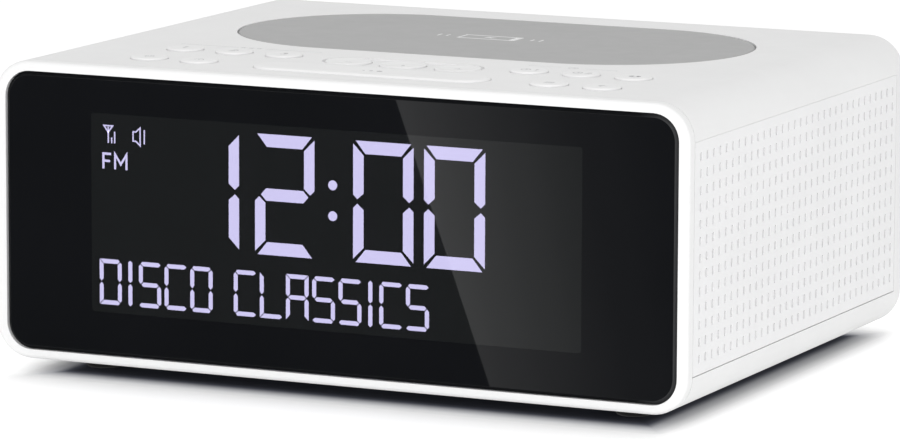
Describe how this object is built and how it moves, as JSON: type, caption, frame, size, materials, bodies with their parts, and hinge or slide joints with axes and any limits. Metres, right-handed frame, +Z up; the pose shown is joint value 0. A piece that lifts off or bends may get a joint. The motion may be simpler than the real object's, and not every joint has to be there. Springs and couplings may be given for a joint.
{
  "type": "clock radio",
  "caption": "Low box-shaped clock radio with a smoked display window, round top buttons, a wide snooze bar, slotted sides and a flush charging pad.",
  "frame": {"origin": "under the middle of the radio, on the surface that its feet stand on", "axes": "+X to the right along the front as the user sees it, +Y from the front to the back, +Z up"},
  "size_m": [0.2, 0.154, 0.0846],
  "materials": {
    "shell_white": "fine satin texture",
    "bezel_white": "semi-gloss",
    "grille_white": "fine satin texture",
    "button_caps": "satin",
    "switch_plungers": "plain moulded",
    "smoked_lens": "polished, dark smoked",
    "soft_grey": "soft-touch, matt",
    "display_glass": "polished",
    "light_guide": "diffuse",
    "circuit_board": "solder mask",
    "black_plastic": "satin",
    "tinned_steel": "bright",
    "screw_steel": "zinc plated",
    "rubber_black": "matt",
    "copper": "enamelled wire",
    "ferrite": "sintered, matt",
    "basket_steel": "black, satin",
    "paper_cone": "paper"
  },
  "bodies": {
    "radio": {"antenna_grommet": "rubber_black", "base_cover": "shell_white", "board_screws": "screw_steel", "charging_board": "circuit_board", "charging_coil": "copper", "charging_pad": "soft_grey", "dc_jack": "black_plastic", "display_board": "circuit_board", "ferrite_sheet": "ferrite", "front_bezel": "bezel_white", "front_lens": "smoked_lens", "grille_left": "grille_white", "grille_right": "grille_white", "housing": "shell_white", "housing_screws": "screw_steel", "key_board": "circuit_board", "lcd_backlight": "light_guide", "lcd_frame": "black_plastic", "lcd_glass": "display_glass", "main_board": "circuit_board", "rear_panel": "black_plastic", "rubber_feet": "rubber_black", "speaker_basket_left": "basket_steel", "speaker_basket_right": "basket_steel", "speaker_cone_left": "paper_cone", "speaker_cone_right": "paper_cone", "speaker_magnet_left": "ferrite", "speaker_magnet_right": "ferrite", "speaker_screws": "screw_steel", "tact_switches": "black_plastic", "tuner_module": "tinned_steel", "usb_socket": "tinned_steel"},
    "alarm_1_key": {"alarm_1_button": "button_caps", "alarm_1_plunger": "switch_plungers"},
    "alarm_2_key": {"alarm_2_button": "button_caps", "alarm_2_plunger": "switch_plungers"},
    "back_key": {"back_button": "button_caps", "back_plunger": "switch_plungers"},
    "down_key": {"down_button": "button_caps", "down_plunger": "switch_plungers"},
    "menu_key": {"menu_button": "button_caps", "menu_plunger": "switch_plungers"},
    "mode_key": {"mode_button": "button_caps", "mode_plunger": "switch_plungers"},
    "power_key": {"power_button": "button_caps", "power_plunger": "switch_plungers"},
    "preset_1_key": {"preset_1_button": "button_caps", "preset_1_plunger": "switch_plungers"},
    "preset_2_key": {"preset_2_button": "button_caps", "preset_2_plunger": "switch_plungers"},
    "preset_3_key": {"preset_3_button": "button_caps", "preset_3_plunger": "switch_plungers"},
    "select_key": {"select_button": "button_caps", "select_plunger": "switch_plungers"},
    "sleep_key": {"sleep_button": "button_caps", "sleep_plunger": "switch_plungers"},
    "up_key": {"up_button": "button_caps", "up_plunger": "switch_plungers"},
    "snooze_key": {"snooze_bar": "button_caps", "snooze_plunger": "switch_plungers"}
  },
  "joints": [
    {"name": "alarm_1_press", "type": "slide", "parent": "radio", "child": "alarm_1_key", "axis": [0, 0, -1], "range_m": [0, 0.0005], "stiffness_N_per_m": 600, "springref_m": -0.0005},
    {"name": "alarm_2_press", "type": "slide", "parent": "radio", "child": "alarm_2_key", "axis": [0, 0, -1], "range_m": [0, 0.0005], "stiffness_N_per_m": 600, "springref_m": -0.0005},
    {"name": "back_press", "type": "slide", "parent": "radio", "child": "back_key", "axis": [0, 0, -1], "range_m": [0, 0.0005], "stiffness_N_per_m": 600, "springref_m": -0.0005},
    {"name": "down_press", "type": "slide", "parent": "radio", "child": "down_key", "axis": [0, 0, -1], "range_m": [0, 0.0005], "stiffness_N_per_m": 600, "springref_m": -0.0005},
    {"name": "menu_press", "type": "slide", "parent": "radio", "child": "menu_key", "axis": [0, 0, -1], "range_m": [0, 0.0005], "stiffness_N_per_m": 600, "springref_m": -0.0005},
    {"name": "mode_press", "type": "slide", "parent": "radio", "child": "mode_key", "axis": [0, 0, -1], "range_m": [0, 0.0005], "stiffness_N_per_m": 600, "springref_m": -0.0005},
    {"name": "power_press", "type": "slide", "parent": "radio", "child": "power_key", "axis": [0, 0, -1], "range_m": [0, 0.0005], "stiffness_N_per_m": 600, "springref_m": -0.0005},
    {"name": "preset_1_press", "type": "slide", "parent": "radio", "child": "preset_1_key", "axis": [0, 0, -1], "range_m": [0, 0.0005], "stiffness_N_per_m": 600, "springref_m": -0.0005},
    {"name": "preset_2_press", "type": "slide", "parent": "radio", "child": "preset_2_key", "axis": [0, 0, -1], "range_m": [0, 0.0005], "stiffness_N_per_m": 600, "springref_m": -0.0005},
    {"name": "preset_3_press", "type": "slide", "parent": "radio", "child": "preset_3_key", "axis": [0, 0, -1], "range_m": [0, 0.0005], "stiffness_N_per_m": 600, "springref_m": -0.0005},
    {"name": "select_press", "type": "slide", "parent": "radio", "child": "select_key", "axis": [0, 0, -1], "range_m": [0, 0.0005], "stiffness_N_per_m": 600, "springref_m": -0.0005},
    {"name": "sleep_press", "type": "slide", "parent": "radio", "child": "sleep_key", "axis": [0, 0, -1], "range_m": [0, 0.0005], "stiffness_N_per_m": 600, "springref_m": -0.0005},
    {"name": "up_press", "type": "slide", "parent": "radio", "child": "up_key", "axis": [0, 0, -1], "range_m": [0, 0.0005], "stiffness_N_per_m": 600, "springref_m": -0.0005},
    {"name": "snooze_press", "type": "slide", "parent": "radio", "child": "snooze_key", "axis": [0, 0, -1], "range_m": [0, 0.0005], "stiffness_N_per_m": 600, "springref_m": -0.0005}
  ]
}
